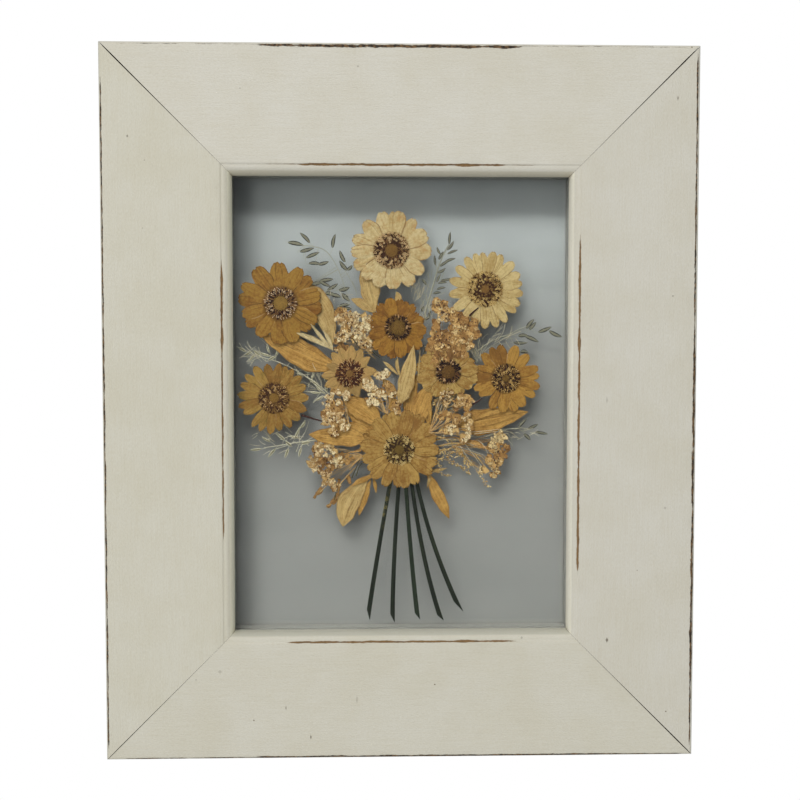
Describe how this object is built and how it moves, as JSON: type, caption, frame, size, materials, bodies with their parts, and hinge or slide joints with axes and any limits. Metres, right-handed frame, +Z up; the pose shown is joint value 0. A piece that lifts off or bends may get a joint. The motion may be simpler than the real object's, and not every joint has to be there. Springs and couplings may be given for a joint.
{
  "type": "pressed flower frame",
  "caption": "Wide cream mitred wooden frame holding a pressed bouquet of dry daisies, leaves, grass and green stems between glass panes.",
  "frame": {"origin": "the middle notch of the sawtooth hanger on the back of the top rail, where the wall's nail takes the weight", "axes": "+Z up, the front of the frame faces -Y and the wall lies towards +Y, +X to the right for someone who looks at the front"},
  "size_m": [0.25, 0.0276, 0.3008],
  "materials": {
    "painted_wood": "cream brushed paint, worn to brown wood along the edges",
    "clear_glass": "clear, polished",
    "dark_card": "matt dark grey card",
    "grey_board": "matt cool grey",
    "zinc_steel": "dull zinc plate",
    "straw_petals": "dry pressed petals, finely ribbed",
    "orange_petals": "dry pressed petals, finely ribbed",
    "brown_petals": "dry pressed petals, finely ribbed",
    "amber_petals": "dry pressed petals, finely ribbed",
    "pale_leaf": "dry pressed leaf with raised veins",
    "golden_leaf": "dry pressed leaf with raised veins",
    "green_stem": "dry stem, dull dark green",
    "dry_grass": "dry grass spikelets",
    "pale_grass": "dry pale grass",
    "white_blossom": "tiny papery florets",
    "tan_blossom": "tiny papery florets"
  },
  "bodies": {
    "root": {"back_glass": "clear_glass", "backing_board": "grey_board", "blossom_left": "white_blossom", "blossom_lower_left": "white_blossom", "blossom_lower_right": "tan_blossom", "blossom_middle": "white_blossom", "blossom_right": "white_blossom", "blossom_upper_left": "white_blossom", "blossom_upper_right": "tan_blossom", "flower_big": "orange_petals", "flower_left": "amber_petals", "flower_left_of_middle": "amber_petals", "flower_middle": "brown_petals", "flower_right": "orange_petals", "flower_right_of_middle": "orange_petals", "flower_top": "straw_petals", "flower_upper_left": "orange_petals", "flower_upper_right": "straw_petals", "front_glass": "clear_glass", "grass_left": "pale_grass", "grass_lower_left": "pale_grass", "grass_lower_right": "dry_grass", "grass_right": "dry_grass", "grass_upper_left": "dry_grass", "grass_upper_right": "dry_grass", "hanger_nail_left": "zinc_steel", "hanger_nail_right": "zinc_steel", "leaf_beside_upright": "golden_leaf", "leaf_left_long": "golden_leaf", "leaf_lower_left": "pale_leaf", "leaf_lower_right": "golden_leaf", "leaf_middle_left": "golden_leaf", "leaf_pointing_left": "golden_leaf", "leaf_right": "golden_leaf", "leaf_under_top": "pale_leaf", "leaf_upper_left": "pale_leaf", "leaf_upright": "pale_leaf", "pane_strip_bottom": "dark_card", "pane_strip_left": "dark_card", "pane_strip_right": "dark_card", "pane_strip_top": "dark_card", "point_left_high": "zinc_steel", "point_left_low": "zinc_steel", "point_right_high": "zinc_steel", "point_right_low": "zinc_steel", "rail_bottom": "painted_wood", "rail_left": "painted_wood", "rail_right": "painted_wood", "rail_top": "painted_wood", "sawtooth_hanger": "zinc_steel", "spacer_bottom": "dark_card", "spacer_left": "dark_card", "spacer_right": "dark_card", "spacer_top": "dark_card", "stem_far_left": "green_stem", "stem_far_right": "green_stem", "stem_left": "green_stem", "stem_middle": "green_stem", "stem_right": "green_stem"}
  },
  "joints": []
}
